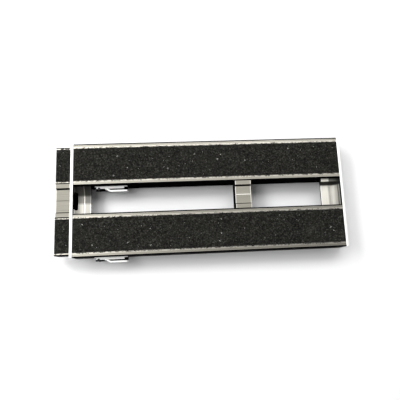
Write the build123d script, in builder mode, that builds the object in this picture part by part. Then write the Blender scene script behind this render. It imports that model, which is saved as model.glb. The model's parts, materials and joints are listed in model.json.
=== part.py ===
from build123d import *
import os

# A telescoping pedalboard: two hook-and-loop covered aluminium rails side by side, tied together
# by end plates, gussets and a centre tie, with a sliding inner frame that pulls out to the left.
# +X runs along the rails towards the closed end, +Y to the rear, +Z up, feet on Z = 0, in mm.

os.makedirs("parts", exist_ok=True)

# ---------------------------------------------------------------- driving dimensions
tape_width = 50.8
outer_rail_length = 415.0
outer_rail_width = 65.5
inner_rail_length = 427.0
inner_rail_width = 57.5
rail_gap = 43.0
plate_thickness = 5.0
inner_stand_out = 22.5
board_height = 46.0

foot_height = 4.0
foot_radius = 8.0
flange_thickness = 4.0
flange_reach = 18.0

outer_wall = 2.5
outer_tape_depth = 2.0
outer_web = 2.0
outer_foot_lip = 10.0
inner_wall = 2.0
inner_tape_depth = 1.8
inner_web = 1.8
inner_bottom = 11.3
inner_top_drop = 4.5
lip_groove_width = 2.2
lip_groove_depth = 0.5
rail_edge_radius = 1.0
tape_side_gap = 0.2

extension_travel = 260.0
running_gap = 0.3
glide_side = 1.2
glide_top = 19.0
collar_glide_length = 20.0

gusset_lengths = {"left": 24.6, "right": 28.2}
gusset_pad_lengths = {"left": 10.0, "right": 13.3}
gusset_cove_radius = 10.0
gusset_groove_width = 1.8
gusset_groove_depth = 0.8
gusset_top = 30.0
gusset_wall = 4.0
gusset_ear_depths = {"left": 1.0, "right": 4.5}
gusset_ramp_lengths = {"left": 16.5, "right": 8.0}
gusset_ear_top = 38.0
slot_length = 27.9
slot_width = 5.4
slot_forward = 1.2

tie_length = 24.6
tie_centre_from_plate = 260.2
tie_arm = 6.2
tie_floor = 4.0
tie_pocket_depth = 3.5
tie_grooves = {"rear": 2.4, "front": 1.6}
tie_side_wall = 2.0
tie_ridge = 1.2
tie_end_gap = 0.1
inner_tie_gap = 0.5

lever_pivot_from_plate = 37.0
lever_pivot_out = 3.9
lever_reach = 8.4
lever_strip = 2.4
lever_length = 44.5
lever_height = 10.8
cam_radius = 2.6
cam_offset = 0.7
bracket_start = 33.0
bracket_length = 42.4
bracket_reach = 3.8
bracket_tray_reach = 5.8
bracket_tray_start = 30.6
bracket_tray_length = 49.8
bracket_sheet = 1.2
bracket_bottom = 20.0
bracket_height = 14.0
ear_radius = 2.4
pad_width = 9.0
pad_height = 10.0
pad_rail_gap = 0.25
pin_radius = 1.2
pin_head_radius = 1.9
pin_head = 0.8
pin_clearance = 0.05

plate_edge_radius = 1.4
tie_chamfer = 0.3
tie_screw_spacing = 12.0
tie_screw_z = 18.0
inner_tie_screw_heights = (17.0, 30.0)
lever_bend_start = 11.0
lever_bend_end = 17.0
lever_bend_radius = 3.0
rivet_places = (23.0, 37.0)
foot_out = 66.0
inner_foot_out = 14.0
foot_chamfer = 0.6
slot_floor = 10.0
gusset_screw_out = 17.5
gusset_screw_z = 18.0

screw_radius = 1.95
thread_radius = 2.0
screw_head_radius = 3.8
flat_head = 2.1
button_head = 2.2
socket_radius = 1.45
socket_depth = 1.3
foot_recess = 2.8
foot_recess_radius = 4.6
rivet_radius = 1.5
rivet_head_radius = 2.7
rivet_head = 0.8

# ---------------------------------------------------------------- places worked out from them
plate_bottom = foot_height
rail_bottom = plate_bottom + flange_thickness
overall_length = inner_stand_out + 2 * plate_thickness + outer_rail_length
mid_y = lever_reach / 2
rail_offset = (rail_gap + outer_rail_width) / 2
board_depth = rail_gap + 2 * outer_rail_width
left_end = -overall_length / 2
left_plate_x = left_end + inner_stand_out
left_rail_x = left_plate_x + plate_thickness
right_rail_x = left_rail_x + outer_rail_length
inner_top = board_height - inner_top_drop
inner_tail_x = left_end + inner_rail_length
inner_gap = 2 * rail_offset - inner_rail_width
tie_x = left_rail_x + tie_centre_from_plate
rail_y = {"rear": mid_y + rail_offset, "front": mid_y - rail_offset}
outer_lip_top = rail_bottom + outer_wall
wall_to_inner_rail = (outer_rail_width - inner_rail_width) / 2
pivot_x = left_rail_x + lever_pivot_from_plate
bracket_x = left_rail_x + bracket_start
tray_x = left_rail_x + bracket_tray_start
lock_z = bracket_bottom + bracket_height / 2
inner_tie_length = inner_stand_out - inner_tie_gap
flange_centre = flange_reach / 2
pad_hole = pad_width + 2 * running_gap
pad_hole_height = pad_height + 2 * running_gap
rivet_x = [bracket_x + place for place in rivet_places]
centre_tie_screw_places = [(tie_x - tie_screw_spacing / 2, tie_screw_z),
                           (tie_x + tie_screw_spacing / 2, tie_screw_z)]
inner_tie_x = left_end + inner_tie_length / 2
inner_tie_screw_places = [(inner_tie_x, height) for height in inner_tie_screw_heights]
inner_foot_places = [(inner_tie_x, mid_y + inner_foot_out), (inner_tie_x, mid_y - inner_foot_out)]
glide_start = left_rail_x + collar_glide_length + extension_travel + running_gap


# ---------------------------------------------------------------- shapes used more than once
def rail_section(centre, width, bottom, top, wall, tape_depth, web):
    """Open-bottomed channel section, drawn in Y and Z, with a recess on top for the loop tape."""
    channel_top = top - tape_depth - web
    lip_centre = (width / 2 + tape_width / 2 + tape_side_gap) / 2
    with Locations((centre, (bottom + top) / 2)):
        Rectangle(width, top - bottom)
    with Locations((centre, (bottom + channel_top) / 2)):
        Rectangle(width - 2 * wall, channel_top - bottom, mode=Mode.SUBTRACT)
    with Locations((centre, top - tape_depth / 2)):
        Rectangle(tape_width + 2 * tape_side_gap, tape_depth, mode=Mode.SUBTRACT)
    if width > inner_rail_width:
        with Locations((centre - lip_centre, top), (centre + lip_centre, top)):
            Rectangle(lip_groove_width, 2 * lip_groove_depth, mode=Mode.SUBTRACT)


def outer_top_edges(part):
    """The two long top edges on the outside of a rail."""
    edges = part.edges().filter_by(Axis.X).group_by(Axis.Z)[-1].sort_by(Axis.Y)
    return [edges[0], edges[-1]]


def block(x_range, y_range, z_range, mode=Mode.ADD):
    """Rectangular block between two corners."""
    spans = [x_range, y_range, z_range]
    centre = [(low + high) / 2 for low, high in spans]
    with Locations(tuple(centre)):
        Box(*[high - low for low, high in spans], mode=mode)


def flat_head_screw(length):
    """Countersunk screw with a hexagonal socket, its face on the XY plane, pointing down."""
    with BuildPart() as screw:
        with BuildSketch(Plane.XZ):
            with BuildLine():
                Polyline((0, 0), (screw_head_radius, 0), (screw_radius, -flat_head),
                         (screw_radius, -length), (0, -length), close=True)
            make_face()
        revolve(axis=Axis.Z)
        with BuildSketch():
            RegularPolygon(socket_radius, 6)
        extrude(amount=-socket_depth, mode=Mode.SUBTRACT)
    return screw.part.solid()


def button_head_screw(length):
    """Button-head screw with a hexagonal socket, its head seated on the XY plane, pointing down."""
    with BuildPart() as screw:
        Cylinder(screw_radius, length, align=(Align.CENTER, Align.CENTER, Align.MAX))
        Cylinder(screw_head_radius, button_head, align=(Align.CENTER, Align.CENTER, Align.MIN))
        rim = screw.edges().filter_by(GeomType.CIRCLE).sort_by(Axis.Z)[-1]
        fillet(rim, radius=button_head * 0.6)
        with BuildSketch(Plane.XY.offset(button_head)):
            RegularPolygon(socket_radius, 6)
        extrude(amount=-socket_depth, mode=Mode.SUBTRACT)
    return screw.part.solid()


def rubber_feet(places):
    """Round rubber feet on the floor, each with a recess below for its screw."""
    with BuildPart() as feet:
        with Locations(*places):
            Cylinder(foot_radius, foot_height, align=(Align.CENTER, Align.CENTER, Align.MIN))
        chamfer(feet.edges().filter_by(GeomType.CIRCLE).group_by(Axis.Z)[0], length=foot_chamfer)
        with Locations(*[Plane((x, y, 0), z_dir=(0, 0, -1)) for x, y in places]):
            CounterBoreHole(thread_radius, foot_recess_radius, foot_recess, depth=foot_height)
    return feet.part


def end_plate(plate_x, inward):
    """Upright end plate with a foot flange under the rails; inward is +1 or -1 along X."""
    inner_x = plate_x + inward * plate_thickness
    flange_x = inner_x + inward * flange_reach
    half_depth = board_depth / 2
    y_range = (mid_y - half_depth, mid_y + half_depth)
    with BuildPart() as plate:
        block(sorted((plate_x, inner_x)), y_range, (plate_bottom, board_height))
        outside = 0 if inward > 0 else -1
        fillet(plate.edges().filter_by(Axis.Z).group_by(Axis.X)[outside], radius=plate_edge_radius)
        fillet(plate.faces().sort_by(Axis.Z)[-1].edges(), radius=plate_edge_radius)
        block(sorted((inner_x, flange_x)), y_range, (plate_bottom, rail_bottom))
        flange_screw_planes = [Plane((x, y, plate_bottom), z_dir=(0, 0, -1))
                               for x, y in rail_screw_places(inner_x + inward * flange_centre)]
        with Locations(*flange_screw_planes):
            CounterSinkHole(thread_radius, screw_head_radius, depth=flange_thickness)
        with Locations(*foot_places(inner_x + inward * flange_centre)):
            Hole(thread_radius)
        with Locations(*gusset_screw_planes(plate_x, inward)):
            CounterSinkHole(thread_radius, screw_head_radius, depth=plate_thickness)
    return plate.part


def foot_places(x):
    """Centres of the pair of outer feet under one end plate."""
    return [(x, mid_y + foot_out), (x, mid_y - foot_out)]


def rail_screw_places(x):
    """Screws from an end plate's flange into the bottom lips of both rails."""
    lip_centre = outer_foot_lip / 2
    outer_y = board_depth / 2 - lip_centre
    inner_y = rail_gap / 2 + lip_centre
    return [(x, mid_y + y) for y in (outer_y, inner_y, -inner_y, -outer_y)]


def gusset_screw_planes(plate_x, inward):
    """Screws through an end plate into its gusset, facing outward."""
    return [Plane((plate_x, mid_y + y, gusset_screw_z), z_dir=(-inward, 0, 0))
            for y in (gusset_screw_out, -gusset_screw_out)]


def gusset(plate_face, inward, side):
    """Brace across the gap, against an end plate: coved wall, groove, overhanging pad and ear."""
    length = gusset_lengths[side]
    cove_end = gusset_wall / 2 + gusset_cove_radius
    pad_start = length - gusset_pad_lengths[side]
    groove_start = pad_start - gusset_groove_width
    top = gusset_top + gusset_cove_radius
    ear_height = gusset_ear_top - gusset_top
    ramp_length = gusset_ramp_lengths[side]
    ramp_radius = (ramp_length ** 2 + ear_height ** 2) / (2 * ear_height)
    low = gusset_top - gusset_groove_depth
    y_front = mid_y - rail_gap / 2 + tie_end_gap
    y_rear = mid_y + rail_gap / 2 - tie_end_gap
    section = Plane((plate_face, y_rear, 0), x_dir=(inward, 0, 0), z_dir=(0, -inward, 0))
    along = inward * (y_rear - y_front)
    with BuildPart() as brace:
        with BuildSketch(section):
            with BuildLine():
                Line((0, rail_bottom), (0, top))
                Line((0, top), (gusset_wall / 2, top))
                cove = RadiusArc((gusset_wall / 2, top), (cove_end, gusset_top), -gusset_cove_radius)
                Polyline(cove @ 1, (groove_start, gusset_top), (groove_start, low),
                         (pad_start, low), (pad_start, gusset_top), (length, gusset_top),
                         (length, gusset_top - gusset_wall),
                         (pad_start + gusset_wall / 2, gusset_top - gusset_wall),
                         (pad_start + gusset_wall / 2, rail_bottom),
                         (pad_start - gusset_wall / 2, rail_bottom),
                         (pad_start - gusset_wall / 2, gusset_top - gusset_wall),
                         (gusset_wall, gusset_top - gusset_wall), (gusset_wall, rail_bottom),
                         (0, rail_bottom))
            make_face()
        extrude(amount=along)
        with BuildSketch(Plane.YZ.offset(plate_face)):
            ear_front = y_rear - gusset_ear_depths[side]
            ramp_foot = (ear_front - ramp_length, gusset_top)
            with BuildLine():
                Polyline((ear_front, gusset_ear_top), (y_rear, gusset_ear_top), (y_rear, low),
                         (ear_front - ramp_length, low), ramp_foot)
                RadiusArc(ramp_foot, (ear_front, gusset_ear_top), -ramp_radius)
            make_face()
        extrude(amount=inward * length)
        with Locations(*gusset_screw_planes(plate_face, inward)):
            Hole(thread_radius, depth=gusset_wall)
    return brace.part


def cross_tie(x_start, length, gap, top, bottom, hollow_x, hollow_bottom, middle_line):
    """Hollow tie between two rails, with a grooved shallow pocket on top.

    The line along the middle of the pocket is a ridge or a groove, as middle_line adds or cuts."""
    half = gap / 2 - tie_end_gap
    floor_top = top - tie_pocket_depth
    with BuildPart() as tie:
        x_range = (x_start, x_start + length)
        block(x_range, (mid_y - half, mid_y + half), (bottom, top))
        pocket = (mid_y - half + tie_arm, mid_y + half - tie_arm)
        block(x_range, pocket, (floor_top, top), Mode.SUBTRACT)
        block(hollow_x, pocket, (hollow_bottom, floor_top - tie_floor), Mode.SUBTRACT)
        for groove in ((pocket[0], pocket[0] + tie_grooves["front"]),
                       (pocket[1] - tie_grooves["rear"], pocket[1])):
            block(x_range, groove, (floor_top - tie_floor / 2, floor_top), Mode.SUBTRACT)
        ridge = (mid_y - tie_ridge / 2, mid_y + tie_ridge / 2)
        block(x_range, ridge, (floor_top - tie_ridge / 2, floor_top + tie_ridge / 2), middle_line)
        chamfer(tie.faces().filter_by(Axis.X).edges().filter_by(Axis.Y).group_by(Axis.Z)[-1],
                length=tie_chamfer)
    return tie.part


def wall_screw_planes(places, wall_y, toward):
    """Screw seats on the faces at wall_y either side of the middle; toward points out of the seat."""
    return [Plane((x, mid_y + side * wall_y, z), z_dir=(0, side * toward, 0))
            for x, z in places for side in (1, -1)]


def glide_section(centre, outward, wall_face, thickness, low, high, under):
    """L-shaped nylon strip beside an inner rail's wall, with a toe under the wall."""
    beside = sorted((wall_face, wall_face + outward * thickness))
    toe = sorted((wall_face - outward * inner_wall, wall_face + outward * thickness))
    for y_range, z_range in ((beside, (low, high)), (toe, (low, under))):
        with Locations((sum(y_range) / 2, sum(z_range) / 2)):
            Rectangle(y_range[1] - y_range[0], z_range[1] - z_range[0])


# ---------------------------------------------------------------- outer rails and their tape
for side, centre in rail_y.items():
    front_face = centre - outer_rail_width / 2
    with BuildPart() as outer_rail:
        with BuildSketch(Plane.YZ.offset(left_rail_x)):
            rail_section(centre, outer_rail_width, rail_bottom, board_height, outer_wall,
                         outer_tape_depth, outer_web)
            lip_y = (outer_rail_width - outer_foot_lip) / 2
            with Locations((centre - lip_y, rail_bottom + outer_wall / 2),
                           (centre + lip_y, rail_bottom + outer_wall / 2)):
                Rectangle(outer_foot_lip, outer_wall)
        extrude(amount=outer_rail_length)
        fillet(outer_top_edges(outer_rail), radius=rail_edge_radius)
        block((pivot_x - pad_hole / 2, pivot_x + pad_hole / 2), (front_face, front_face + outer_wall),
              (lock_z - pad_hole_height / 2, lock_z + pad_hole_height / 2), Mode.SUBTRACT)
        with Locations(*[Plane((x, front_face, lock_z), z_dir=(0, -1, 0)) for x in rivet_x]):
            Hole(rivet_radius, depth=outer_wall)
        screw_x = (left_rail_x + flange_centre, right_rail_x - flange_centre)
        under_lips = [(x, y) for plate in screw_x for x, y in rail_screw_places(plate)
                      if abs(y - centre) < outer_rail_width / 2]
        with Locations(*[(x, y, rail_bottom) for x, y in under_lips]):
            Cylinder(thread_radius, 2 * outer_wall, mode=Mode.SUBTRACT)
        inward_side = -1 if side == "rear" else 1
        tie_wall = centre + inward_side * outer_rail_width / 2
        with Locations(*[Plane((x, tie_wall, z), z_dir=(0, inward_side, 0))
                         for x, z in centre_tie_screw_places]):
            Hole(thread_radius, depth=outer_wall)
    outer_rail.part.label = f"{side}_outer_rail"
    export_step(outer_rail.part, f"parts/{side}_outer_rail.step")

    with BuildPart() as outer_tape:
        block((left_rail_x, right_rail_x), (centre - tape_width / 2, centre + tape_width / 2),
              (board_height - outer_tape_depth, board_height))
    outer_tape.part.label = f"{side}_outer_loop_tape"
    export_step(outer_tape.part, f"parts/{side}_outer_loop_tape.step")


# ---------------------------------------------------------------- end plates, gussets and their screws
with BuildPart() as left_end_plate:
    add(end_plate(left_plate_x, 1))
    for centre in rail_y.values():
        window = inner_rail_width / 2 + 2 * running_gap
        block((left_plate_x, left_rail_x), (centre - window, centre + window),
              (inner_bottom - 2 * running_gap, inner_top + running_gap), Mode.SUBTRACT)
left_end_plate.part.label = "left_end_plate"
export_step(left_end_plate.part, "parts/left_end_plate.step")

with BuildPart() as right_end_plate:
    add(end_plate(right_rail_x + plate_thickness, -1))
right_end_plate.part.label = "right_end_plate"
export_step(right_end_plate.part, "parts/right_end_plate.step")

with BuildPart() as left_gusset:
    add(gusset(left_rail_x, 1, "left"))
    with BuildSketch(Plane.XY.offset(slot_floor)):
        with Locations((left_rail_x + slot_width / 2, mid_y - slot_forward)):
            SlotOverall(slot_length, slot_width, rotation=90)
    extrude(amount=board_height, mode=Mode.SUBTRACT)
left_gusset.part.label = "left_gusset"
export_step(left_gusset.part, "parts/left_gusset.step")

with BuildPart() as right_gusset:
    add(gusset(right_rail_x, -1, "right"))
right_gusset.part.label = "right_gusset"
export_step(right_gusset.part, "parts/right_gusset.step")

gusset_screw = flat_head_screw(plate_thickness + gusset_wall)
for side, plate_x, inward in (("left", left_plate_x, 1),
                              ("right", right_rail_x + plate_thickness, -1)):
    with BuildPart() as gusset_screws:
        with Locations(*gusset_screw_planes(plate_x, inward)):
            add(gusset_screw)
    gusset_screws.part.label = f"{side}_gusset_screws"
    export_step(gusset_screws.part, f"parts/{side}_gusset_screws.step")

rail_screw = flat_head_screw(flange_thickness + outer_wall)
with BuildPart() as rail_screws:
    flange_x = (left_rail_x + flange_centre, right_rail_x - flange_centre)
    with Locations(*[Plane((x, y, plate_bottom), z_dir=(0, 0, -1))
                     for plate in flange_x for x, y in rail_screw_places(plate)]):
        add(rail_screw)
rail_screws.part.label = "rail_screws"
export_step(rail_screws.part, "parts/rail_screws.step")

# ---------------------------------------------------------------- centre tie
with BuildPart() as centre_tie:
    tie_start = tie_x - tie_length / 2
    hollow_x = (tie_start + tie_side_wall, tie_start + tie_length - tie_side_wall)
    add(cross_tie(tie_start, tie_length, rail_gap, board_height - running_gap, rail_bottom,
                  hollow_x, rail_bottom, Mode.ADD))
    with Locations(*wall_screw_planes(centre_tie_screw_places, rail_gap / 2, -1)):
        Cylinder(thread_radius, 2 * (tie_arm + tie_end_gap), mode=Mode.SUBTRACT)
centre_tie.part.label = "centre_tie"
export_step(centre_tie.part, "parts/centre_tie.step")

centre_tie_screw = button_head_screw(tie_arm + tie_end_gap + outer_wall)
with BuildPart() as centre_tie_screws:
    with Locations(*wall_screw_planes(centre_tie_screw_places, rail_gap / 2 - tie_end_gap - tie_arm, -1)):
        add(centre_tie_screw)
centre_tie_screws.part.label = "centre_tie_screws"
export_step(centre_tie_screws.part, "parts/centre_tie_screws.step")

# ---------------------------------------------------------------- inner frame
for side, centre in rail_y.items():
    with BuildPart() as inner_rail:
        with BuildSketch(Plane.YZ.offset(left_end)):
            rail_section(centre, inner_rail_width, inner_bottom, inner_top, inner_wall,
                         inner_tape_depth, inner_web)
        extrude(amount=inner_rail_length)
        fillet(outer_top_edges(inner_rail), radius=rail_edge_radius / 2)
        inward_side = -1 if side == "rear" else 1
        tie_wall = centre + inward_side * inner_rail_width / 2
        with Locations(*[Plane((x, tie_wall, z), z_dir=(0, inward_side, 0))
                         for x, z in inner_tie_screw_places]):
            Hole(thread_radius, depth=inner_wall)
    inner_rail.part.label = f"{side}_inner_rail"
    export_step(inner_rail.part, f"parts/{side}_inner_rail.step")

    with BuildPart() as inner_tape:
        block((left_end, inner_tail_x), (centre - tape_width / 2, centre + tape_width / 2),
              (inner_top - inner_tape_depth, inner_top))
    inner_tape.part.label = f"{side}_inner_loop_tape"
    export_step(inner_tape.part, f"parts/{side}_inner_loop_tape.step")

with BuildPart() as inner_end_tie:
    hollow_x = (left_end + tie_side_wall, left_end + inner_tie_length)
    add(cross_tie(left_end, inner_tie_length, inner_gap, inner_top - running_gap, plate_bottom,
                  hollow_x, plate_bottom + tie_floor, Mode.SUBTRACT))
    with Locations(*wall_screw_planes(inner_tie_screw_places, inner_gap / 2, -1)):
        Cylinder(thread_radius, 2 * (tie_arm + tie_end_gap), mode=Mode.SUBTRACT)
    with Locations(*[(x, y, plate_bottom) for x, y in inner_foot_places]):
        Cylinder(thread_radius, 2 * tie_floor, mode=Mode.SUBTRACT)
inner_end_tie.part.label = "inner_end_tie"
export_step(inner_end_tie.part, "parts/inner_end_tie.step")

inner_tie_screw = button_head_screw(inner_wall + tie_end_gap + tie_arm)
with BuildPart() as inner_tie_screws:
    with Locations(*wall_screw_planes(inner_tie_screw_places, inner_gap / 2 + inner_wall, 1)):
        add(inner_tie_screw)
inner_tie_screws.part.label = "inner_tie_screws"
export_step(inner_tie_screws.part, "parts/inner_tie_screws.step")

rail_walls = [(centre, outward) for centre in rail_y.values() for outward in (1, -1)]
with BuildPart() as inner_rail_glides:
    for centre, outward in rail_walls:
        with BuildSketch(Plane.YZ.offset(glide_start)):
            glide_section(centre, outward, centre + outward * inner_rail_width / 2, glide_side,
                          outer_lip_top + pin_clearance, glide_top, inner_bottom)
        extrude(amount=inner_tail_x - glide_start)
inner_rail_glides.part.label = "inner_rail_glides"
export_step(inner_rail_glides.part, "parts/inner_rail_glides.step")

with BuildPart() as collar_glides:
    for centre, outward in rail_walls:
        outer_face = centre + outward * (outer_rail_width / 2 - outer_wall)
        beside = sorted((outer_face, outer_face - outward * glide_side))
        toe = sorted((outer_face, outer_face - outward * 2 * glide_side - outward * inner_wall))
        x_range = (left_rail_x, left_rail_x + collar_glide_length)
        block(x_range, beside, (outer_lip_top, inner_top - 2 * rail_edge_radius))
        block(x_range, toe, (outer_lip_top, inner_bottom - 2 * pin_clearance))
collar_glides.part.label = "collar_glides"
export_step(collar_glides.part, "parts/collar_glides.step")

# ---------------------------------------------------------------- rubber feet and their screws
outer_foot_places = [place for x in (left_rail_x + flange_centre, right_rail_x - flange_centre)
                     for place in foot_places(x)]
for name, places, grip in (("outer", outer_foot_places, flange_thickness),
                           ("inner", inner_foot_places, tie_floor)):
    feet_part = rubber_feet(places)
    feet_part.label = f"{name}_feet"
    export_step(feet_part, f"parts/{name}_feet.step")

    foot_screw = button_head_screw(foot_height - foot_recess + grip)
    with BuildPart() as foot_screws:
        with Locations(*[Plane((x, y, foot_recess), z_dir=(0, 0, -1)) for x, y in places]):
            add(foot_screw)
    foot_screws.part.label = f"{name}_foot_screws"
    export_step(foot_screws.part, f"parts/{name}_foot_screws.step")

# ---------------------------------------------------------------- cam locks on the rails' front walls
for side, centre in rail_y.items():
    wall_y = centre - outer_rail_width / 2
    pivot_y = wall_y - lever_pivot_out
    bracket_top = bracket_bottom + bracket_height
    bracket_range = (bracket_x, bracket_x + bracket_length)
    tray_range = (tray_x, tray_x + bracket_tray_length)
    lever_bottom = lock_z - lever_height / 2

    with BuildPart() as lock_bracket:
        block(tray_range, (wall_y - bracket_sheet, wall_y), (bracket_bottom, bracket_top))
        for flange_z, x_range, reach in ((bracket_bottom, tray_range, bracket_tray_reach),
                                         (bracket_top - bracket_sheet, bracket_range, bracket_reach)):
            with BuildSketch(Plane.XY.offset(flange_z)):
                with Locations((sum(x_range) / 2, wall_y - reach / 2)):
                    Rectangle(x_range[1] - x_range[0], reach)
                with Locations((pivot_x, pivot_y)):
                    Circle(ear_radius)
                with Locations((pivot_x, (pivot_y + wall_y) / 2)):
                    Rectangle(2 * ear_radius, lever_pivot_out)
                with Locations((pivot_x, pivot_y)):
                    Circle(pin_radius, mode=Mode.SUBTRACT)
            extrude(amount=bracket_sheet)
        block((pivot_x - pad_hole / 2, pivot_x + pad_hole / 2), (wall_y - bracket_sheet, wall_y),
              (bracket_bottom + bracket_sheet, bracket_top - bracket_sheet), Mode.SUBTRACT)
        with Locations(*[Plane((x, wall_y - bracket_sheet, lock_z), z_dir=(0, -1, 0))
                         for x in rivet_x]):
            Hole(rivet_radius, depth=bracket_sheet)
    lock_bracket.part.label = f"{side}_lock_bracket"
    export_step(lock_bracket.part, f"parts/{side}_lock_bracket.step")

    with BuildPart() as lock_rivets:
        for x in rivet_x:
            along_y = Plane((x, wall_y - bracket_sheet - rivet_head, lock_z), z_dir=(0, 1, 0))
            with BuildSketch(along_y):
                Circle(rivet_head_radius)
            extrude(amount=rivet_head)
            with BuildSketch(along_y.offset(rivet_head)):
                Circle(rivet_radius)
            extrude(amount=bracket_sheet + outer_wall)
            with BuildSketch(along_y.offset(rivet_head + bracket_sheet + outer_wall)):
                Circle(rivet_head_radius)
            extrude(amount=rivet_head)
    lock_rivets.part.label = f"{side}_lock_rivets"
    export_step(lock_rivets.part, f"parts/{side}_lock_rivets.step")

    with BuildPart() as lock_pin:
        pin_start = bracket_bottom - pin_head
        with BuildSketch(Plane.XY.offset(pin_start)):
            with Locations((pivot_x, pivot_y)):
                Circle(pin_head_radius)
        extrude(amount=pin_head)
        with BuildSketch(Plane.XY.offset(bracket_bottom)):
            with Locations((pivot_x, pivot_y)):
                Circle(pin_radius)
        extrude(amount=bracket_height)
        with BuildSketch(Plane.XY.offset(bracket_top)):
            with Locations((pivot_x, pivot_y)):
                Circle(pin_head_radius)
        extrude(amount=pin_head)
    lock_pin.part.label = f"{side}_lock_pin"
    export_step(lock_pin.part, f"parts/{side}_lock_pin.step")

    with BuildPart() as lock_lever:
        with BuildSketch(Plane.XY.offset(lever_bottom)):
            inside_y = wall_y - bracket_sheet - lever_strip
            tab_y = wall_y - lever_reach + lever_strip / 2
            with BuildLine():
                FilletPolyline((pivot_x, inside_y), (pivot_x + lever_bend_start, inside_y),
                               (pivot_x + lever_bend_end, tab_y), (pivot_x + lever_length, tab_y),
                               radius=lever_bend_radius)
            trace(line_width=lever_strip)
            with Locations((pivot_x, pivot_y + cam_offset)):
                Circle(cam_radius)
            with Locations((pivot_x, pivot_y)):
                Circle(pin_radius + pin_clearance, mode=Mode.SUBTRACT)
        extrude(amount=lever_height)
        tip = lock_lever.faces().sort_by(Axis.X)[-1].edges().filter_by(Axis.Y)
        fillet(tip, radius=lever_bend_radius)
    lock_lever.part.label = f"{side}_lock_lever"
    export_step(lock_lever.part, f"parts/{side}_lock_lever.step")

    with BuildPart() as lock_pad:
        cam_face = pivot_y + cam_offset + cam_radius
        pad_inner = wall_y + wall_to_inner_rail - pad_rail_gap
        block((pivot_x - pad_width / 2, pivot_x + pad_width / 2), (cam_face + running_gap, pad_inner),
              (lock_z - pad_height / 2, lock_z + pad_height / 2))
    lock_pad.part.label = f"{side}_lock_pad"
    export_step(lock_pad.part, f"parts/{side}_lock_pad.step")
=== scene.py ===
import json
import math

import bpy
import numpy as np
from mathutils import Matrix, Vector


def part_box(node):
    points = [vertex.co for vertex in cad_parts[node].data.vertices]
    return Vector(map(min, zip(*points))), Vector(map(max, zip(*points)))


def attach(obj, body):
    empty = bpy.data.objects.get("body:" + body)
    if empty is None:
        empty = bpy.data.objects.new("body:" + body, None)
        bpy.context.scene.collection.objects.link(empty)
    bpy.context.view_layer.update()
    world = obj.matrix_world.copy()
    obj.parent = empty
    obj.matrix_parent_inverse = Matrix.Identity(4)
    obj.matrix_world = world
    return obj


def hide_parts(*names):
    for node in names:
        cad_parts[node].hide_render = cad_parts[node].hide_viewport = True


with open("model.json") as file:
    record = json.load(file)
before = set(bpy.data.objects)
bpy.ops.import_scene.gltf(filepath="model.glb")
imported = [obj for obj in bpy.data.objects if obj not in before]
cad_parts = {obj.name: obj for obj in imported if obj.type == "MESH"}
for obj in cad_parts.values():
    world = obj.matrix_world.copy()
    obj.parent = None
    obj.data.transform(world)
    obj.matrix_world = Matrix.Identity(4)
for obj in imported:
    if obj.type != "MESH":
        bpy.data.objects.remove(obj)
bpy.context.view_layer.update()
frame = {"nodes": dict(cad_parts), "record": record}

NODES = frame["nodes"]
MM = 0.001

# ---------------------------------------------------------------- names in the CAD frame
SIDES = ("rear", "front")
DECKS = ("outer", "inner")
DECK_BODY = {"outer": "outer_frame", "inner": "inner_frame"}

# ---------------------------------------------------------------- camera
CAMERA_PLACE = (-0.03396, -0.12307, 0.80775)
CAMERA_TURN = (12.557, -3.946, -2.656)
CAMERA_LENS = 45.0
CAMERA_SENSOR = 36.0
CAMERA_SHIFT = (-0.0457, -0.0766)


def add_camera():
    """The photograph's viewpoint: high over the front of the board, a little left of its middle."""
    data = bpy.data.cameras.new("camera")
    data.lens = CAMERA_LENS
    data.sensor_width = CAMERA_SENSOR
    data.shift_x, data.shift_y = CAMERA_SHIFT
    data.clip_start = 0.01
    camera = bpy.data.objects.new("camera", data)
    camera.location = CAMERA_PLACE
    camera.rotation_euler = [math.radians(angle) for angle in CAMERA_TURN]
    bpy.context.scene.collection.objects.link(camera)
    bpy.context.scene.camera = camera


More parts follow.
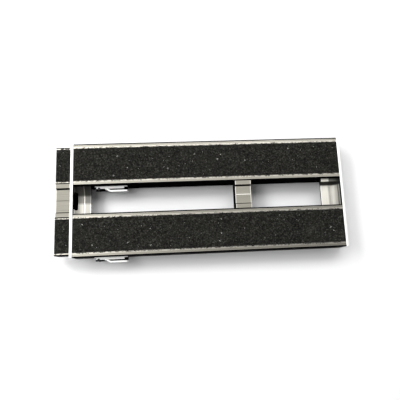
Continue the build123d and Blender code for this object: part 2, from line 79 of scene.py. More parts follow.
# ---------------------------------------------------------------- node helpers
class Finish:
    """A material and short calls for the nodes in it. Positions are in metres in the row frame."""

    def __init__(self, name):
        self.material = bpy.data.materials.new(name)
        self.material.use_nodes = True
        self.tree = self.material.node_tree
        self.shader = self.tree.nodes["Principled BSDF"]
        self.coordinates = self.tree.nodes.new("ShaderNodeTexCoord").outputs["Object"]

    def link(self, value, socket):
        """Feed a socket from another socket, or give it a fixed value."""
        if isinstance(value, bpy.types.NodeSocket):
            self.tree.links.new(value, socket)
        else:
            socket.default_value = value

    def math(self, operation, *values, clamp=False):
        node = self.tree.nodes.new("ShaderNodeMath")
        node.operation = operation
        node.use_clamp = clamp
        for value, socket in zip(values, node.inputs):
            self.link(value, socket)
        return node.outputs[0]

    def axis(self, name):
        node = self.tree.nodes.new("ShaderNodeSeparateXYZ")
        self.link(self.coordinates, node.inputs[0])
        return node.outputs[name]

    def facing(self, name):
        """How far the surface faces along an axis of the row frame at rest."""
        turned = self.tree.nodes.new("ShaderNodeVectorTransform")
        turned.vector_type = "NORMAL"
        turned.convert_from, turned.convert_to = "WORLD", "OBJECT"
        self.link(self.tree.nodes.new("ShaderNodeNewGeometry").outputs["Normal"], turned.inputs[0])
        node = self.tree.nodes.new("ShaderNodeSeparateXYZ")
        self.link(turned.outputs[0], node.inputs[0])
        return node.outputs[name]

    def stretched(self, scale):
        """The position, times a scale for each axis."""
        node = self.tree.nodes.new("ShaderNodeMapping")
        self.link(self.coordinates, node.inputs["Vector"])
        node.inputs["Scale"].default_value = scale
        return node.outputs[0]

    def noise(self, scale, detail=3.0, roughness=0.6):
        """Noise at so many cycles a metre; scale is one number, or one for each axis."""
        node = self.tree.nodes.new("ShaderNodeTexNoise")
        vector = self.stretched((scale,) * 3 if isinstance(scale, (int, float)) else scale)
        self.link(vector, node.inputs["Vector"])
        node.inputs["Scale"].default_value = 1.0
        node.inputs["Detail"].default_value = detail
        node.inputs["Roughness"].default_value = roughness
        return node.outputs["Fac"]

    def cells(self, scale, curl):
        """A random level for each of the irregular cells, so many to a metre, their edges curled
        by so much of a cell."""
        turns = self.tree.nodes.new("ShaderNodeTexNoise")
        self.link(self.stretched((3 * scale,) * 3), turns.inputs["Vector"])
        turns.inputs["Scale"].default_value = 1.0
        push = self.tree.nodes.new("ShaderNodeVectorMath")
        push.operation = "MULTIPLY_ADD"
        self.link(turns.outputs["Color"], push.inputs[0])
        push.inputs[1].default_value = (curl,) * 3
        self.link(self.stretched((scale,) * 3), push.inputs[2])
        node = self.tree.nodes.new("ShaderNodeTexVoronoi")
        self.link(push.outputs[0], node.inputs["Vector"])
        node.inputs["Scale"].default_value = 1.0
        split = self.tree.nodes.new("ShaderNodeSeparateColor")
        self.link(node.outputs["Color"], split.inputs[0])
        return split.outputs["Red"]

    def spread(self, value, low, high, new_low, new_high):
        """Value taken from one range to another, and held within it."""
        node = self.tree.nodes.new("ShaderNodeMapRange")
        self.link(value, node.inputs["Value"])
        for socket, number in zip(("From Min", "From Max", "To Min", "To Max"),
                                  (low, high, new_low, new_high)):
            node.inputs[socket].default_value = number
        return node.outputs[0]

    def off_middle(self, low, high):
        """Distance along Y from the middle of a box."""
        middle = (low.y + high.y) / 2
        return self.math("ABSOLUTE", self.math("SUBTRACT", self.axis("Y"), middle))

    def mix(self, share, first, second):
        node = self.tree.nodes.new("ShaderNodeMix")
        node.data_type = "RGBA"
        self.link(share, node.inputs["Factor"])
        self.link(first, node.inputs["A"])
        self.link(second, node.inputs["B"])
        return node.outputs["Result"]

    def two_tone(self, value, first, second):
        """The first colour where value is low and the second where it is high."""
        return self.mix(self.spread(value, 0.35, 0.65, 0.0, 1.0), first, second)

    def brushed(self, scale):
        """Brushed lines, soft clouds, and a shade made of both."""
        lines = self.noise(scale, detail=4.0)
        clouds = self.noise(70.0, detail=2.0)
        shade = self.math("ADD", self.math("MULTIPLY", lines, 0.6),
                          self.math("MULTIPLY", clouds, 0.4))
        return lines, clouds, shade

    def level(self, value, reach, stops):
        """A grey level that follows the stops, each a distance along value and a level there."""
        node = self.tree.nodes.new("ShaderNodeValToRGB")
        self.link(self.spread(value, 0.0, reach, 0.0, 1.0), node.inputs["Fac"])
        marks = node.color_ramp.elements
        while len(marks) < len(stops):
            marks.new(0.5)
        for mark, (distance, shade) in zip(marks, stops):
            mark.position = distance / reach
            mark.color = colour(shade, shade, shade)
        return node.outputs["Color"]

    def scaled(self, tint, level):
        """A colour times a grey level."""
        node = self.tree.nodes.new("ShaderNodeMix")
        node.data_type = "RGBA"
        node.blend_type = "MULTIPLY"
        node.clamp_result = True
        node.inputs["Factor"].default_value = 1.0
        self.link(tint, node.inputs["A"])
        self.link(level, node.inputs["B"])
        return node.outputs["Result"]

    def bump(self, height, distance, strength=1.0, normal=None):
        node = self.tree.nodes.new("ShaderNodeBump")
        self.link(height, node.inputs["Height"])
        node.inputs["Distance"].default_value = distance
        node.inputs["Strength"].default_value = strength
        if normal is not None:
            self.link(normal, node.inputs["Normal"])
        return node.outputs[0]

    def set(self, **sockets):
        """Set or link the shader's sockets; an underscore stands for a space."""
        for name, value in sockets.items():
            self.link(value, self.shader.inputs[name.replace("_", " ")])


def colour(red, green, blue):
    return (red, green, blue, 1.0)


# ---------------------------------------------------------------- finishes
SILVER = colour(0.46, 0.44, 0.39)
SILVER_WORN = colour(0.34, 0.325, 0.28)
GROOVE = colour(0.25, 0.24, 0.205)
BLACK = colour(0.0025, 0.0025, 0.0025)
BLACK_RUBBED = colour(0.008, 0.008, 0.008)
DARK_AT_EDGES = colour(0.08, 0.08, 0.08)

# Grain of the metals in cycles a metre: even, or drawn out along one axis.
EVEN = 420.0
ALONG_X = (25.0, 1500.0, 1500.0)
ALONG_Y = (1500.0, 25.0, 1500.0)
RAIL_GRAIN = (6.0, 2600.0, 900.0)

# How far the black of a rail's walls wraps over its lips.
RAIL_EDGE = {"outer": 2.0 * MM, "inner": 1.6 * MM}
LIP_DEPTH = 0.9 * MM
LIP_GROOVE_DEPTH = 0.5 * MM

# Width of the painted highlight along the ends of the ties and castings.
END_HIGHLIGHT_WIDTH = 1.2 * MM
FLANGE_REACH = 3.85 * MM
FLANGE_THICKNESS = 1.25 * MM
# Reach of the levers' painted shadow from their pivot end.
LEVER_SHADOWED_END = 11.5 * MM

TIE_DEPTH = 4.5 * MM
TIE_FADE = (0.3, 0.8)
TIE_TONES = {"centre_tie": (colour(0.31, 0.296, 0.252), colour(0.235, 0.225, 0.190)),
             "inner_end_tie": (colour(0.275, 0.265, 0.226), colour(0.213, 0.205, 0.174))}
# Painted highlight along the ties' ends.
TIE_END_HIGHLIGHT = colour(0.70, 0.68, 0.63)
# Painted light along the ties' middle: a highlight on the centre tie, shade on the inner end tie.
TIE_LINE = {"centre_tie": colour(0.78, 0.76, 0.70), "inner_end_tie": colour(0.13, 0.125, 0.105)}
TIE_LINE_WIDTH = 1.2 * MM

# Painted shade on the castings: leaning faces, and all deeper than this under the top, take the dark
# wall colour.
GUSSET_DEPTH = 13.0 * MM
GUSSET_FADE = {"left_gusset": (0.0, 0.25), "right_gusset": (0.0, 0.45)}
GUSSET_TONES = (colour(0.80, 0.78, 0.71), colour(0.67, 0.65, 0.585))
GUSSET_WALL_SHADE = colour(0.020, 0.017, 0.012)
# Painted highlight along the castings' ends.
GUSSET_END_HIGHLIGHT = colour(0.95, 0.94, 0.90)
GUSSET_EAR = 4.8 * MM
# Painted shade and highlight on the castings: shadow and dark reflection at their rear ends and
# near the end plates, and a painted bright strip on the left one. Level against distance: from the
# rear end, from the end plate, and from the plate along the raised rear end alone.
GUSSET_PAINTED_SHADE_AND_HIGHLIGHT = {
    "left_gusset": (
        ((0.0, 0.055), (12.5 * MM, 0.055), (16.0 * MM, 0.28), (24.0 * MM, 0.34), (28.0 * MM, 1.0)),
        ((0.0, 1.0), (13.6 * MM, 1.0), (13.9 * MM, 3.0), (15.2 * MM, 3.0), (15.5 * MM, 0.72),
         (23.0 * MM, 0.72), (23.6 * MM, 1.0)),
        ((0.0, 1.0), (10.0 * MM, 1.0))),
    "right_gusset": (
        ((0.0, 1.0), (4.3 * MM, 1.0), (5.2 * MM, 0.045), (9.0 * MM, 0.045), (11.0 * MM, 0.85),
         (20.0 * MM, 1.0)),
        ((0.0, 0.25), (3.0 * MM, 0.55), (9.0 * MM, 0.68), (15.5 * MM, 0.68), (16.5 * MM, 1.0)),
        ((0.0, 0.10), (11.0 * MM, 0.28), (15.5 * MM, 0.28), (16.5 * MM, 1.0))),
}


def rail_finish(name, low, high):
    """Satin silver top lips over black anodised walls."""
    finish = Finish(name + "_finish")
    edge = RAIL_EDGE["outer" if "outer" in name else "inner"]
    inside = finish.math("LESS_THAN", finish.off_middle(low, high), (high.y - low.y) / 2 - edge)
    on_top = finish.math("GREATER_THAN", finish.axis("Z"), high.z - LIP_DEPTH)
    lip = finish.math("MULTIPLY", inside, on_top)
    in_groove = finish.math("LESS_THAN", finish.axis("Z"), high.z - LIP_GROOVE_DEPTH / 2)
    drawn = finish.noise(RAIL_GRAIN, detail=4.0)
    patches = finish.noise(45.0, detail=2.0)
    silver = finish.mix(finish.spread(drawn, 0.35, 0.7, 0.0, 1.0), SILVER, SILVER_WORN)
    silver = finish.mix(in_groove, silver, GROOVE)
    black = finish.mix(finish.spread(patches, 0.45, 0.75, 0.0, 1.0), BLACK, BLACK_RUBBED)
    rough_silver = finish.spread(drawn, 0.3, 0.7, 0.30, 0.46)
    rough_black = finish.spread(patches, 0.3, 0.7, 0.38, 0.52)
    off_lip = finish.math("SUBTRACT", 1.0, lip)
    roughness = finish.math("ADD", finish.math("MULTIPLY", lip, rough_silver),
                            finish.math("MULTIPLY", off_lip, rough_black))
    finish.set(Base_Color=finish.mix(lip, black, silver), Metallic=1.0, Roughness=roughness,
               Specular_Tint=DARK_AT_EDGES, Normal=finish.bump(drawn, 0.03 * MM, 0.6))
    return finish.material


def metal_finish(name, light, dark, rough):
    """Satin steel with an even grain; rough is the roughness of its light and dark parts."""
    finish = Finish(name)
    grain, _, shade = finish.brushed(EVEN)
    finish.set(Base_Color=finish.two_tone(shade, light, dark), Metallic=1.0,
               Roughness=finish.spread(shade, 0.35, 0.65, *rough),
               Normal=finish.bump(grain, 0.03 * MM, 0.5))
    return finish.material


def plate_finish(name, low, high):
    """Bright satin end plate; the face towards the rails is painted black as shade."""
    finish = Finish(name + "_finish")
    grain, clouds, shade = finish.brushed(ALONG_Y)
    inward = 1 if name == "left_end_plate" else -1
    # Painted shade: the face towards the rails is black.
    inner = finish.math("GREATER_THAN", finish.math("MULTIPLY", finish.facing("X"), inward), 0.7)
    bright = finish.two_tone(shade, colour(0.93, 0.93, 0.92), colour(0.84, 0.84, 0.82))
    black = finish.mix(clouds, BLACK, BLACK_RUBBED)
    finish.set(Base_Color=finish.mix(inner, bright, black),
               Metallic=finish.spread(inner, 0.0, 1.0, 0.35, 1.0), Specular_Tint=DARK_AT_EDGES,
               Roughness=finish.spread(shade, 0.35, 0.65, 0.36, 0.50),
               Normal=finish.bump(grain, 0.03 * MM, 0.5))
    return finish.material


def highlighted_ends(finish, low, high, top, bright):
    """The top colour, with a painted highlight along both of its ends in X."""
    from_end = finish.math("MINIMUM", finish.math("SUBTRACT", finish.axis("X"), low.x),
                           finish.math("SUBTRACT", high.x, finish.axis("X")))
    return finish.mix(finish.spread(from_end, 0.6 * END_HIGHLIGHT_WIDTH, END_HIGHLIGHT_WIDTH, 1.0, 0.0), top, bright)


def champagne_over_dark(finish, grain, top, bottom, fade, wall, metallic):
    """The top colour on faces that look up, and the dark wall colour elsewhere and below bottom.

    fade is how far a face may lean, as the height of its normal: where it is all wall colour, and
    where it is all top colour."""
    upward = finish.math("MULTIPLY", finish.spread(finish.facing("Z"), *fade, 0.0, 1.0),
                         finish.math("GREATER_THAN", finish.axis("Z"), bottom))
    finish.set(Base_Color=finish.mix(upward, wall, top),
               Metallic=finish.spread(upward, 0.0, 1.0, 0.0, metallic), Specular_IOR_Level=0.0,
               Roughness=finish.spread(grain, 0.3, 0.7, 0.34, 0.5),
               Normal=finish.bump(grain, 0.04 * MM, 0.5))
    return finish.material


def tie_finish(name, low, high):
    """Champagne tie with a narrow line along its middle: a painted highlight on the centre tie,
    painted shade on the inner end tie.
    """
    finish = Finish(name + "_finish")
    grain = finish.noise(ALONG_X, detail=4.0)
    on_line = finish.math("LESS_THAN", finish.off_middle(low, high), TIE_LINE_WIDTH / 2)
    top = finish.mix(on_line, finish.two_tone(grain, *TIE_TONES[name]), TIE_LINE[name])
    top = highlighted_ends(finish, low, high, top, TIE_END_HIGHLIGHT)
    return champagne_over_dark(finish, grain, top, high.z - TIE_DEPTH, TIE_FADE, BLACK_RUBBED, 0.3)


def gusset_finish(name, low, high):
    """Champagne casting with painted shade and reflection in its corners, and a painted bright strip.
    """
    finish = Finish(name + "_finish")
    grain = finish.noise(ALONG_Y, detail=4.0)
    top = finish.two_tone(grain, *GUSSET_TONES)
    top = highlighted_ends(finish, low, high, top, GUSSET_END_HIGHLIGHT)
    from_rear, from_plate, along_ear = GUSSET_PAINTED_SHADE_AND_HIGHLIGHT[name]
    to_rear = finish.math("SUBTRACT", high.y, finish.axis("Y"))
    to_plate = (finish.math("SUBTRACT", finish.axis("X"), low.x) if name == "left_gusset"
                else finish.math("SUBTRACT", high.x, finish.axis("X")))
    width = high.x - low.x
    # Painted shade and highlight, by distance from the rear end, from the end plate and along the ear.
    top = finish.scaled(top, finish.level(to_rear, high.y - low.y, from_rear))
    top = finish.scaled(top, finish.level(to_plate, width, from_plate))
    on_ear = finish.math("LESS_THAN", to_rear, GUSSET_EAR)
    top = finish.mix(on_ear, top, finish.scaled(top, finish.level(to_plate, width, along_ear)))
    # The dark wall colour on the castings' leaning and deep faces is painted shade.
    return champagne_over_dark(finish, grain, top, high.z - GUSSET_DEPTH, GUSSET_FADE[name],
                               GUSSET_WALL_SHADE, 0.15)


def bracket_finish(name, low, high):
    """Black steel tray whose narrow top flange is left bright."""
    finish = Finish(name + "_finish")
    near_wall = finish.math("GREATER_THAN", finish.axis("Y"), high.y - FLANGE_REACH)
    at_top = finish.math("GREATER_THAN", finish.axis("Z"), high.z - FLANGE_THICKNESS)
    bright = finish.math("MULTIPLY", near_wall, at_top)
    grain = finish.noise(EVEN, detail=3.0)
    light = finish.mix(grain, colour(0.97, 0.97, 0.96), colour(0.88, 0.88, 0.86))
    dark = finish.mix(grain, BLACK, BLACK_RUBBED)
    finish.set(Base_Color=finish.mix(bright, dark, light),
               Metallic=finish.spread(bright, 0.0, 1.0, 1.0, 0.25),
               Roughness=finish.spread(grain, 0.3, 0.7, 0.34, 0.46), Specular_Tint=DARK_AT_EDGES,
               Normal=finish.bump(grain, 0.02 * MM, 0.4))
    return finish.material


def lever_finish(name, low, high):
    """Zinc-plated handle, painted black near its pivot end as shadow."""
    finish = Finish(name + "_finish")
    grain = finish.noise(EVEN, detail=4.0)
    # Painted shadow: black near the pivot end, where shade falls beside the bracket.
    shadowed_end = finish.math("LESS_THAN", finish.axis("X"), low.x + LEVER_SHADOWED_END)
    plated = finish.two_tone(grain, colour(0.82, 0.82, 0.81), colour(0.68, 0.68, 0.67))
    black = finish.mix(grain, BLACK, BLACK_RUBBED)
    finish.set(Base_Color=finish.mix(shadowed_end, plated, black),
               Metallic=finish.spread(shadowed_end, 0.0, 1.0, 0.6, 1.0), Specular_Tint=DARK_AT_EDGES,
               Roughness=finish.spread(grain, 0.35, 0.65, 0.28, 0.42),
               Normal=finish.bump(grain, 0.03 * MM, 0.5))
    return finish.material


def nylon_finish():
    """Black moulded nylon, slightly grainy."""
    finish = Finish("black_nylon")
    grain = finish.noise(1800.0, detail=2.0)
    finish.set(Base_Color=finish.mix(grain, colour(0.018, 0.018, 0.018), colour(0.03, 0.03, 0.03)),
               Roughness=finish.spread(grain, 0.3, 0.7, 0.42, 0.58),
               Normal=finish.bump(grain, 0.03 * MM, 0.4))
    return finish.material


def rubber_finish():
    """Matt black rubber with grey scuffs."""
    finish = Finish("black_rubber")
    grain = finish.noise(1400.0, detail=3.0)
    scuffs = finish.noise(260.0, detail=3.0)
    finish.set(Base_Color=finish.mix(finish.spread(scuffs, 0.5, 0.75, 0.0, 1.0),
                                     colour(0.012, 0.012, 0.012), colour(0.045, 0.044, 0.042)),
               Roughness=finish.spread(grain, 0.3, 0.7, 0.68, 0.85),
               Normal=finish.bump(grain, 0.06 * MM, 0.5))
    return finish.material


def backing_finish():
    """Woven tape backing: fine ribs across the tape."""
    finish = Finish("tape_backing")
    ribs = finish.noise((2200.0, 350.0, 350.0), detail=1.0)
    finish.set(Base_Color=finish.mix(ribs, colour(0.010, 0.010, 0.009), colour(0.035, 0.034, 0.030)),
               Roughness=0.85, Specular_IOR_Level=0.25, Normal=finish.bump(ribs, 0.15 * MM, 0.8))
    return finish.material


def pile_finish():
    """Brushed nylon loops, near black: pale tips here and there, and matted patches."""
    finish = Finish("loop_pile")
    fine = finish.noise(900.0, detail=2.0)
    clumps = finish.noise(330.0, detail=3.0, roughness=0.7)
    matted = finish.noise(38.0, detail=2.0)
    tips = finish.math("POWER", finish.cells(800.0, 2.2), 5.0)
    depth = finish.math("ADD", finish.math("MULTIPLY", clumps, 0.8),
                        finish.math("MULTIPLY", matted, 0.2))
    base = finish.mix(finish.spread(depth, 0.40, 0.62, 0.0, 1.0),
                      colour(0.0015, 0.0015, 0.0015), colour(0.0145, 0.0142, 0.0118))
    finish.set(Base_Color=finish.mix(tips, base, colour(0.056, 0.056, 0.048)),
               Roughness=finish.spread(fine, 0.3, 0.7, 0.75, 0.95), Specular_IOR_Level=0.08,
               Normal=finish.bump(fine, 0.3 * MM, 0.7))
    return finish.material


def lint_finish():
    """Pale grey fluff."""
    finish = Finish("lint")
    tone = finish.noise(600.0)
    finish.set(Base_Color=finish.mix(tone, colour(0.42, 0.42, 0.40), colour(0.75, 0.75, 0.72)),
               Roughness=0.9)
    return finish.material


def paint_nodes():
    """Give every CAD node the finish of its material slot; the tapes are replaced later."""
    shared = {
        "screw_steel": metal_finish("dark_zinc", colour(0.36, 0.36, 0.36),
                                    colour(0.24, 0.24, 0.24), (0.26, 0.40)),
        "pin_steel": metal_finish("black_oxide", colour(0.030, 0.030, 0.030),
                                  colour(0.018, 0.018, 0.018), (0.30, 0.42)),
        "nylon": nylon_finish(),
        "foot_rubber": rubber_finish(),
    }
    fitted = {"black_rail": rail_finish, "satin_tie": tie_finish, "satin_cast": gusset_finish,
              "bright_plate": plate_finish, "lock_body": bracket_finish,
              "bright_lever": lever_finish}
    for part in frame["record"]["subparts"]:
        name, slot = part["node"], part["material_slot"]
        if slot == "loop_tape":
            continue
        material = shared[slot] if slot in shared else fitted[slot](name, *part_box(name))
        mesh = NODES[name].data
        mesh.materials.clear()
        mesh.materials.append(material)


# ---------------------------------------------------------------- loop tape
FIRST_SEED = 11
TAPE_BACKING = 0.7 * MM
TAPE_SELVEDGE = 1.3 * MM
BACKING_COLUMNS, BACKING_ROWS = 84, 12
PILE_PITCH = 1.05 * MM
PILE_DROP = 0.55 * MM
PILE_ROUGHNESS = 0.24 * MM
PILE_INSET = 0.2 * MM
PILE_JITTER = 0.28 * PILE_PITCH
FINE_SHARE, BROAD_SHARE = 0.75, 2.2
BROAD_SMOOTHING = 12
FIBRE_RADIUS = 0.085 * MM
LOOP_SPACING = 3.6 * MM
LOOP_POINTS = 6
LOOPS_PER_TUFT = 8
TUFT_SPACING = 1.3 * MM
# Ranges in millimetres that loops are drawn from: half their width, their rise, the rise of those
# that lie flat beside the tape, and how far a tuft's middle is past the tape's edge.
LOOP_RADII = (0.45, 1.0)
LOOP_RISE = (0.35, 0.78)
FLAT_RISE = (0.15, 0.34)
TUFT_OUT = (-0.6, 1.7)
LOOP_LEAN = 0.9
LINT_RADIUS = 0.13 * MM
LINT_THREADS = 26
LINT_TANGLES = 9
LINT_POINTS = 7
THREADS_PER_TANGLE = 5


def new_piece(name, vertices, faces, material, smooth=True):
    """A mesh object in the scene, with one material."""
    mesh = bpy.data.meshes.new(name)
    mesh.from_pydata([tuple(v) for v in vertices], [], [tuple(f) for f in faces])
    mesh.materials.append(material)
    mesh.polygons.foreach_set("use_smooth", [smooth] * len(mesh.polygons))
    mesh.update()
    piece = bpy.data.objects.new(name, mesh)
    bpy.context.scene.collection.objects.link(piece)
    return piece


def grid_faces(columns, rows):
    """Quads of a grid whose points run row by row, columns to a row."""
    corner = np.arange(columns * rows).reshape(rows, columns)
    quads = np.stack([corner[:-1, :-1], corner[:-1, 1:], corner[1:, 1:], corner[1:, :-1]], axis=-1)
    return quads.reshape(-1, 4)


def tubes(paths, radius, sides=3):
    """Thin tubes along paths, an array of tube, point and coordinate; ends are closed."""
    count, points, _ = paths.shape
    along = np.gradient(paths, axis=1)
    along /= np.maximum(np.linalg.norm(along, axis=2, keepdims=True), 1e-12)
    up = np.array([0.0, 0.0, 1.0])
    side = np.cross(along, up)
    side /= np.maximum(np.linalg.norm(side, axis=2, keepdims=True), 1e-9)
    other = np.cross(side, along)
    angles = np.arange(sides) * 2 * np.pi / sides
    ring = (np.cos(angles)[:, None] * side[:, :, None, :]
            + np.sin(angles)[:, None] * other[:, :, None, :])
    radii = np.broadcast_to(np.asarray(radius, float).reshape(-1, 1, 1, 1), (count, 1, 1, 1))
    vertices = (paths[:, :, None, :] + radii * ring).reshape(-1, 3)
    index = np.arange(count * points * sides).reshape(count, points, sides)
    turned = np.roll(index, -1, axis=2)
    walls = np.stack([index[:, :-1], turned[:, :-1], turned[:, 1:], index[:, 1:]], axis=-1)
    faces = [tuple(f) for f in walls.reshape(-1, 4)]
    faces += [tuple(f) for f in index[:, 0, ::-1]]
    faces += [tuple(f) for f in index[:, -1]]
    return vertices, faces


def smoothed(values, times):
    """Each value averaged with its neighbours, over and over."""
    for _ in range(times):
        padded = np.pad(values, 1, mode="edge")
        values = (padded[:-2, 1:-1] + padded[2:, 1:-1] + padded[1:-1, :-2] + padded[1:-1, 2:]
                  + 2 * values) / 6
    return values


def tape_backing(name, low, high, material):
    """The woven strip itself, laid flat in the rail's recess."""
    columns, rows = BACKING_COLUMNS, BACKING_ROWS
    xs = np.linspace(low.x, high.x, columns)
    ys = np.linspace(low.y, high.y, rows)
    grid_x, grid_y = np.meshgrid(xs, ys)
    layers = [np.stack([grid_x, grid_y, np.full_like(grid_x, z)], -1).reshape(-1, 3)
              for z in (low.z + TAPE_BACKING, low.z)]
    top = grid_faces(columns, rows)
    size = columns * rows
    faces = [tuple(f) for f in top] + [tuple(f[::-1] + size) for f in top]
    border = ([(c, c + 1) for c in range(columns - 1)]
              + [(r * columns + columns - 1, (r + 1) * columns + columns - 1) for r in range(rows - 1)]
              + [(size - 1 - c, size - 2 - c) for c in range(columns - 1)]
              + [((rows - 1 - r) * columns, (rows - 2 - r) * columns) for r in range(rows - 1)])
    faces += [(b, a, a + size, b + size) for a, b in border]
    return new_piece(name, np.concatenate(layers), faces, material, smooth=False)


def pile_surface(low, high, random_source):
    """The matted top of the pile: an uneven skin whose edges sink into the backing."""
    columns = max(4, round((high.x - low.x) / PILE_PITCH))
    rows = max(4, round((high.y - low.y - 2 * TAPE_SELVEDGE) / PILE_PITCH))
    xs = np.linspace(low.x + PILE_INSET, high.x - PILE_INSET, columns)
    ys = np.linspace(low.y + TAPE_SELVEDGE, high.y - TAPE_SELVEDGE, rows)
    grid_x, grid_y = np.meshgrid(xs, ys)
    fine = random_source.normal(0.0, 1.0, grid_x.shape)
    broad = smoothed(random_source.normal(0.0, 1.0, grid_x.shape), BROAD_SMOOTHING)
    height = high.z - PILE_DROP + PILE_ROUGHNESS * (FINE_SHARE * fine + BROAD_SHARE * broad)
    height = np.clip(height, low.z + TAPE_BACKING + 0.1 * MM, high.z - 0.05 * MM)
    inside_backing = low.z + TAPE_BACKING * 0.8
    height[0] = height[-1] = inside_backing
    height[:, 0] = height[:, -1] = inside_backing
    for grid in (grid_x, grid_y):
        inner = grid[1:-1, 1:-1]
        inner += random_source.uniform(-PILE_JITTER, PILE_JITTER, inner.shape)
    grid_y[0] += random_source.uniform(-0.5, 0.3, columns) * MM
    grid_y[-1] += random_source.uniform(-0.3, 0.5, columns) * MM
    vertices = np.stack([grid_x, grid_y, height], -1).reshape(-1, 3)
    return vertices, [tuple(f) for f in grid_faces(columns, rows)]


def loop_paths(centres, radii, turn, lean, rise):
    """Arched loops standing on the pile, one for each centre."""
    angle = np.linspace(0.0, np.pi, LOOP_POINTS)
    across = np.cos(angle)[None, :] * radii[:, None]
    tall = np.sin(angle)[None, :] * rise[:, None]
    direction = np.stack([np.cos(turn), np.sin(turn)], -1)
    sideways = np.stack([-np.sin(turn), np.cos(turn)], -1)
    flat = (across[..., None] * direction[:, None, :]
            + (tall * np.tan(lean)[:, None])[..., None] * sideways[:, None, :])
    paths = np.concatenate([flat, tall[..., None]], -1)
    return paths + centres[:, None, :]


def pile_loops(low, high, random_source):
    """Single loops that stand out of the matted pile, and tufts of them along its edges."""
    count = round((high.x - low.x) * (high.y - low.y) / LOOP_SPACING ** 2)
    x = random_source.uniform(low.x + 1 * MM, high.x - 1 * MM, count)
    y = random_source.uniform(low.y + TAPE_SELVEDGE, high.y - TAPE_SELVEDGE, count)
    tufts = round((high.x - low.x) / TUFT_SPACING)
    for edge_y, into in ((low.y, 1), (high.y, -1)):
        middle = random_source.uniform(low.x + 2 * MM, high.x - 2 * MM, tufts)
        out = random_source.uniform(*TUFT_OUT, tufts) * MM
        tuft_x = np.repeat(middle, LOOPS_PER_TUFT)
        tuft_y = np.repeat(edge_y + into * (0.2 * MM - out), LOOPS_PER_TUFT)
        x = np.append(x, tuft_x + random_source.normal(0.0, 0.75 * MM, len(tuft_x)))
        y = np.append(y, tuft_y + random_source.normal(0.0, 0.3 * MM, len(tuft_y)))
    total = len(x)
    x = np.clip(x, low.x + 0.8 * MM, high.x - 0.8 * MM)
    base = np.full(total, high.z - PILE_DROP - 0.25 * MM)
    centres = np.stack([x, y, base], -1)
    radii = random_source.uniform(*LOOP_RADII, total) * MM
    rise = random_source.uniform(*LOOP_RISE, total) * MM
    turn = random_source.uniform(0.0, 2 * np.pi, total)
    lean = random_source.uniform(-LOOP_LEAN, LOOP_LEAN, total)
    beyond = np.maximum(low.y - y, y - high.y) > -0.1 * MM
    centres[beyond, 2] = high.z - 0.04 * MM
    rise[beyond] = random_source.uniform(*FLAT_RISE, np.count_nonzero(beyond)) * MM
    lean[beyond] *= 1.3
    return tubes(loop_paths(centres, radii, turn, lean, rise), FIBRE_RADIUS)


def lint_fibres(low, high, random_source):
    """Pale fluff caught in the pile: short curled threads, and tangles of them."""
    margin = np.array([4 * MM, 3 * MM])
    corner, far_corner = np.array([low.x, low.y]) + margin, np.array([high.x, high.y]) - margin
    single = random_source.uniform(corner, far_corner, (LINT_THREADS, 2))
    tangles = random_source.uniform(corner, far_corner, (LINT_TANGLES, 2))
    tangled = np.repeat(tangles, THREADS_PER_TANGLE, axis=0)
    tangled = tangled + random_source.normal(0.0, 0.25 * MM, tangled.shape)
    start = np.concatenate([single, tangled])
    count = len(start)
    heading = random_source.uniform(0, 2 * np.pi, count)
    curl = random_source.uniform(-1.1, 1.1, count)
    step = random_source.uniform(0.18, 0.34, count) * MM
    angles = heading[:, None] + curl[:, None] * np.arange(LINT_POINTS)
    moves = np.stack([np.cos(angles), np.sin(angles)], -1) * step[:, None, None]
    flat = start[:, None, :] + np.cumsum(moves, axis=1)
    lift = high.z - LINT_RADIUS - random_source.uniform(0.05, 0.25, (count, LINT_POINTS)) * MM
    paths = np.concatenate([flat, lift[..., None]], -1)
    return tubes(paths, LINT_RADIUS * random_source.uniform(0.6, 1.2, count), sides=4)


def add_loop_tapes():
    """Each tape's backing, pile and lint in place of its plain CAD strip."""
    backing_material, pile_material, lint_material = backing_finish(), pile_finish(), lint_finish()
    seed = FIRST_SEED
    for deck in DECKS:
        for side in SIDES:
            node = f"{side}_{deck}_loop_tape"
            low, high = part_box(node)
            body = DECK_BODY[deck]
            random_source = np.random.default_rng(seed)
            seed += 1
            backing = tape_backing(f"{side}_{deck}_tape_backing", low, high, backing_material)
            vertices, faces = pile_surface(low, high, random_source)
            more_vertices, more_faces = pile_loops(low, high, random_source)
            offset = len(vertices)
            faces += [tuple(i + offset for i in f) for f in more_faces]
            pile = new_piece(f"{side}_{deck}_tape_pile", np.concatenate([vertices, more_vertices]),
                             faces, pile_material)
            lint = new_piece(f"{side}_{deck}_tape_lint",
                             *lint_fibres(low, high, random_source), lint_material)
            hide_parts(node)
            for piece in (backing, pile, lint):
                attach(piece, body)


# ---------------------------------------------------------------- floor and light
FLOOR_SIZE = 6.0
PANEL_HEIGHT = 1.70
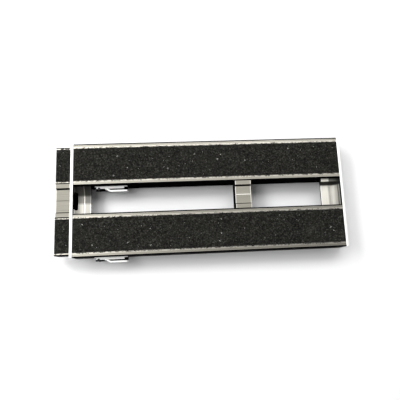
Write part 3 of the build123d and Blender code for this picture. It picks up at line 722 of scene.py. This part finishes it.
# name: place in x and y, size in x and y, power
PANELS = {
    "left_panel": ((-1.35, 0.80), (0.9, 1.8), 46.0),
    "rear_panel": ((0.30, 0.79), (1.7, 0.66), 17.0),
    "overhead_panel": ((-0.82, 0.00), (0.9, 1.5), 11.5),
}
# Strength of the sky at its top and at the horizon, and the heights between which it changes.
SKY_TOP = 0.27
SKY_HORIZON = 0.90
SKY_BLEND = (0.10, 0.62)


def add_floor():
    """Pale plain floor."""
    half = FLOOR_SIZE / 2
    finish = Finish("studio_floor")
    tone = finish.noise(3.0, detail=1.0)
    finish.set(Base_Color=finish.mix(tone, colour(0.90, 0.90, 0.905), colour(0.92, 0.92, 0.92)),
               Roughness=0.9)
    corners = [(-half, -half, 0), (half, -half, 0), (half, half, 0), (-half, half, 0)]
    floor = new_piece("studio_floor", corners, [(0, 1, 2, 3)], finish.material, smooth=False)


def add_panel(name, place, size, power):
    """A soft panel in the ceiling, facing down."""
    data = bpy.data.lights.new(name, "AREA")
    data.shape = "RECTANGLE"
    data.size, data.size_y = size
    data.energy = power
    light = bpy.data.objects.new(name, data)
    light.location = (*place, PANEL_HEIGHT)
    bpy.context.scene.collection.objects.link(light)


def add_sky():
    """White sky, brighter towards the horizon."""
    world = bpy.data.worlds.new("studio_sky")
    world.use_nodes = True
    tree = world.node_tree
    direction = tree.nodes.new("ShaderNodeSeparateXYZ")
    tree.links.new(tree.nodes.new("ShaderNodeTexCoord").outputs["Generated"], direction.inputs[0])
    blend = tree.nodes.new("ShaderNodeMapRange")
    tree.links.new(direction.outputs["Z"], blend.inputs["Value"])
    for socket, number in zip(("From Min", "From Max", "To Min", "To Max"),
                              (*SKY_BLEND, SKY_HORIZON, SKY_TOP)):
        blend.inputs[socket].default_value = number
    tree.links.new(blend.outputs[0], tree.nodes["Background"].inputs["Strength"])
    tree.nodes["Background"].inputs["Color"].default_value = colour(1.0, 1.0, 1.0)
    bpy.context.scene.world = world


def add_studio():
    """The floor, the panels and the sky, shown without tone mapping."""
    add_floor()
    for name, (place, size, power) in PANELS.items():
        add_panel(name, place, size, power)
    add_sky()
    bpy.context.scene.view_settings.view_transform = "Standard"


add_camera()
paint_nodes()
add_loop_tapes()
add_studio()
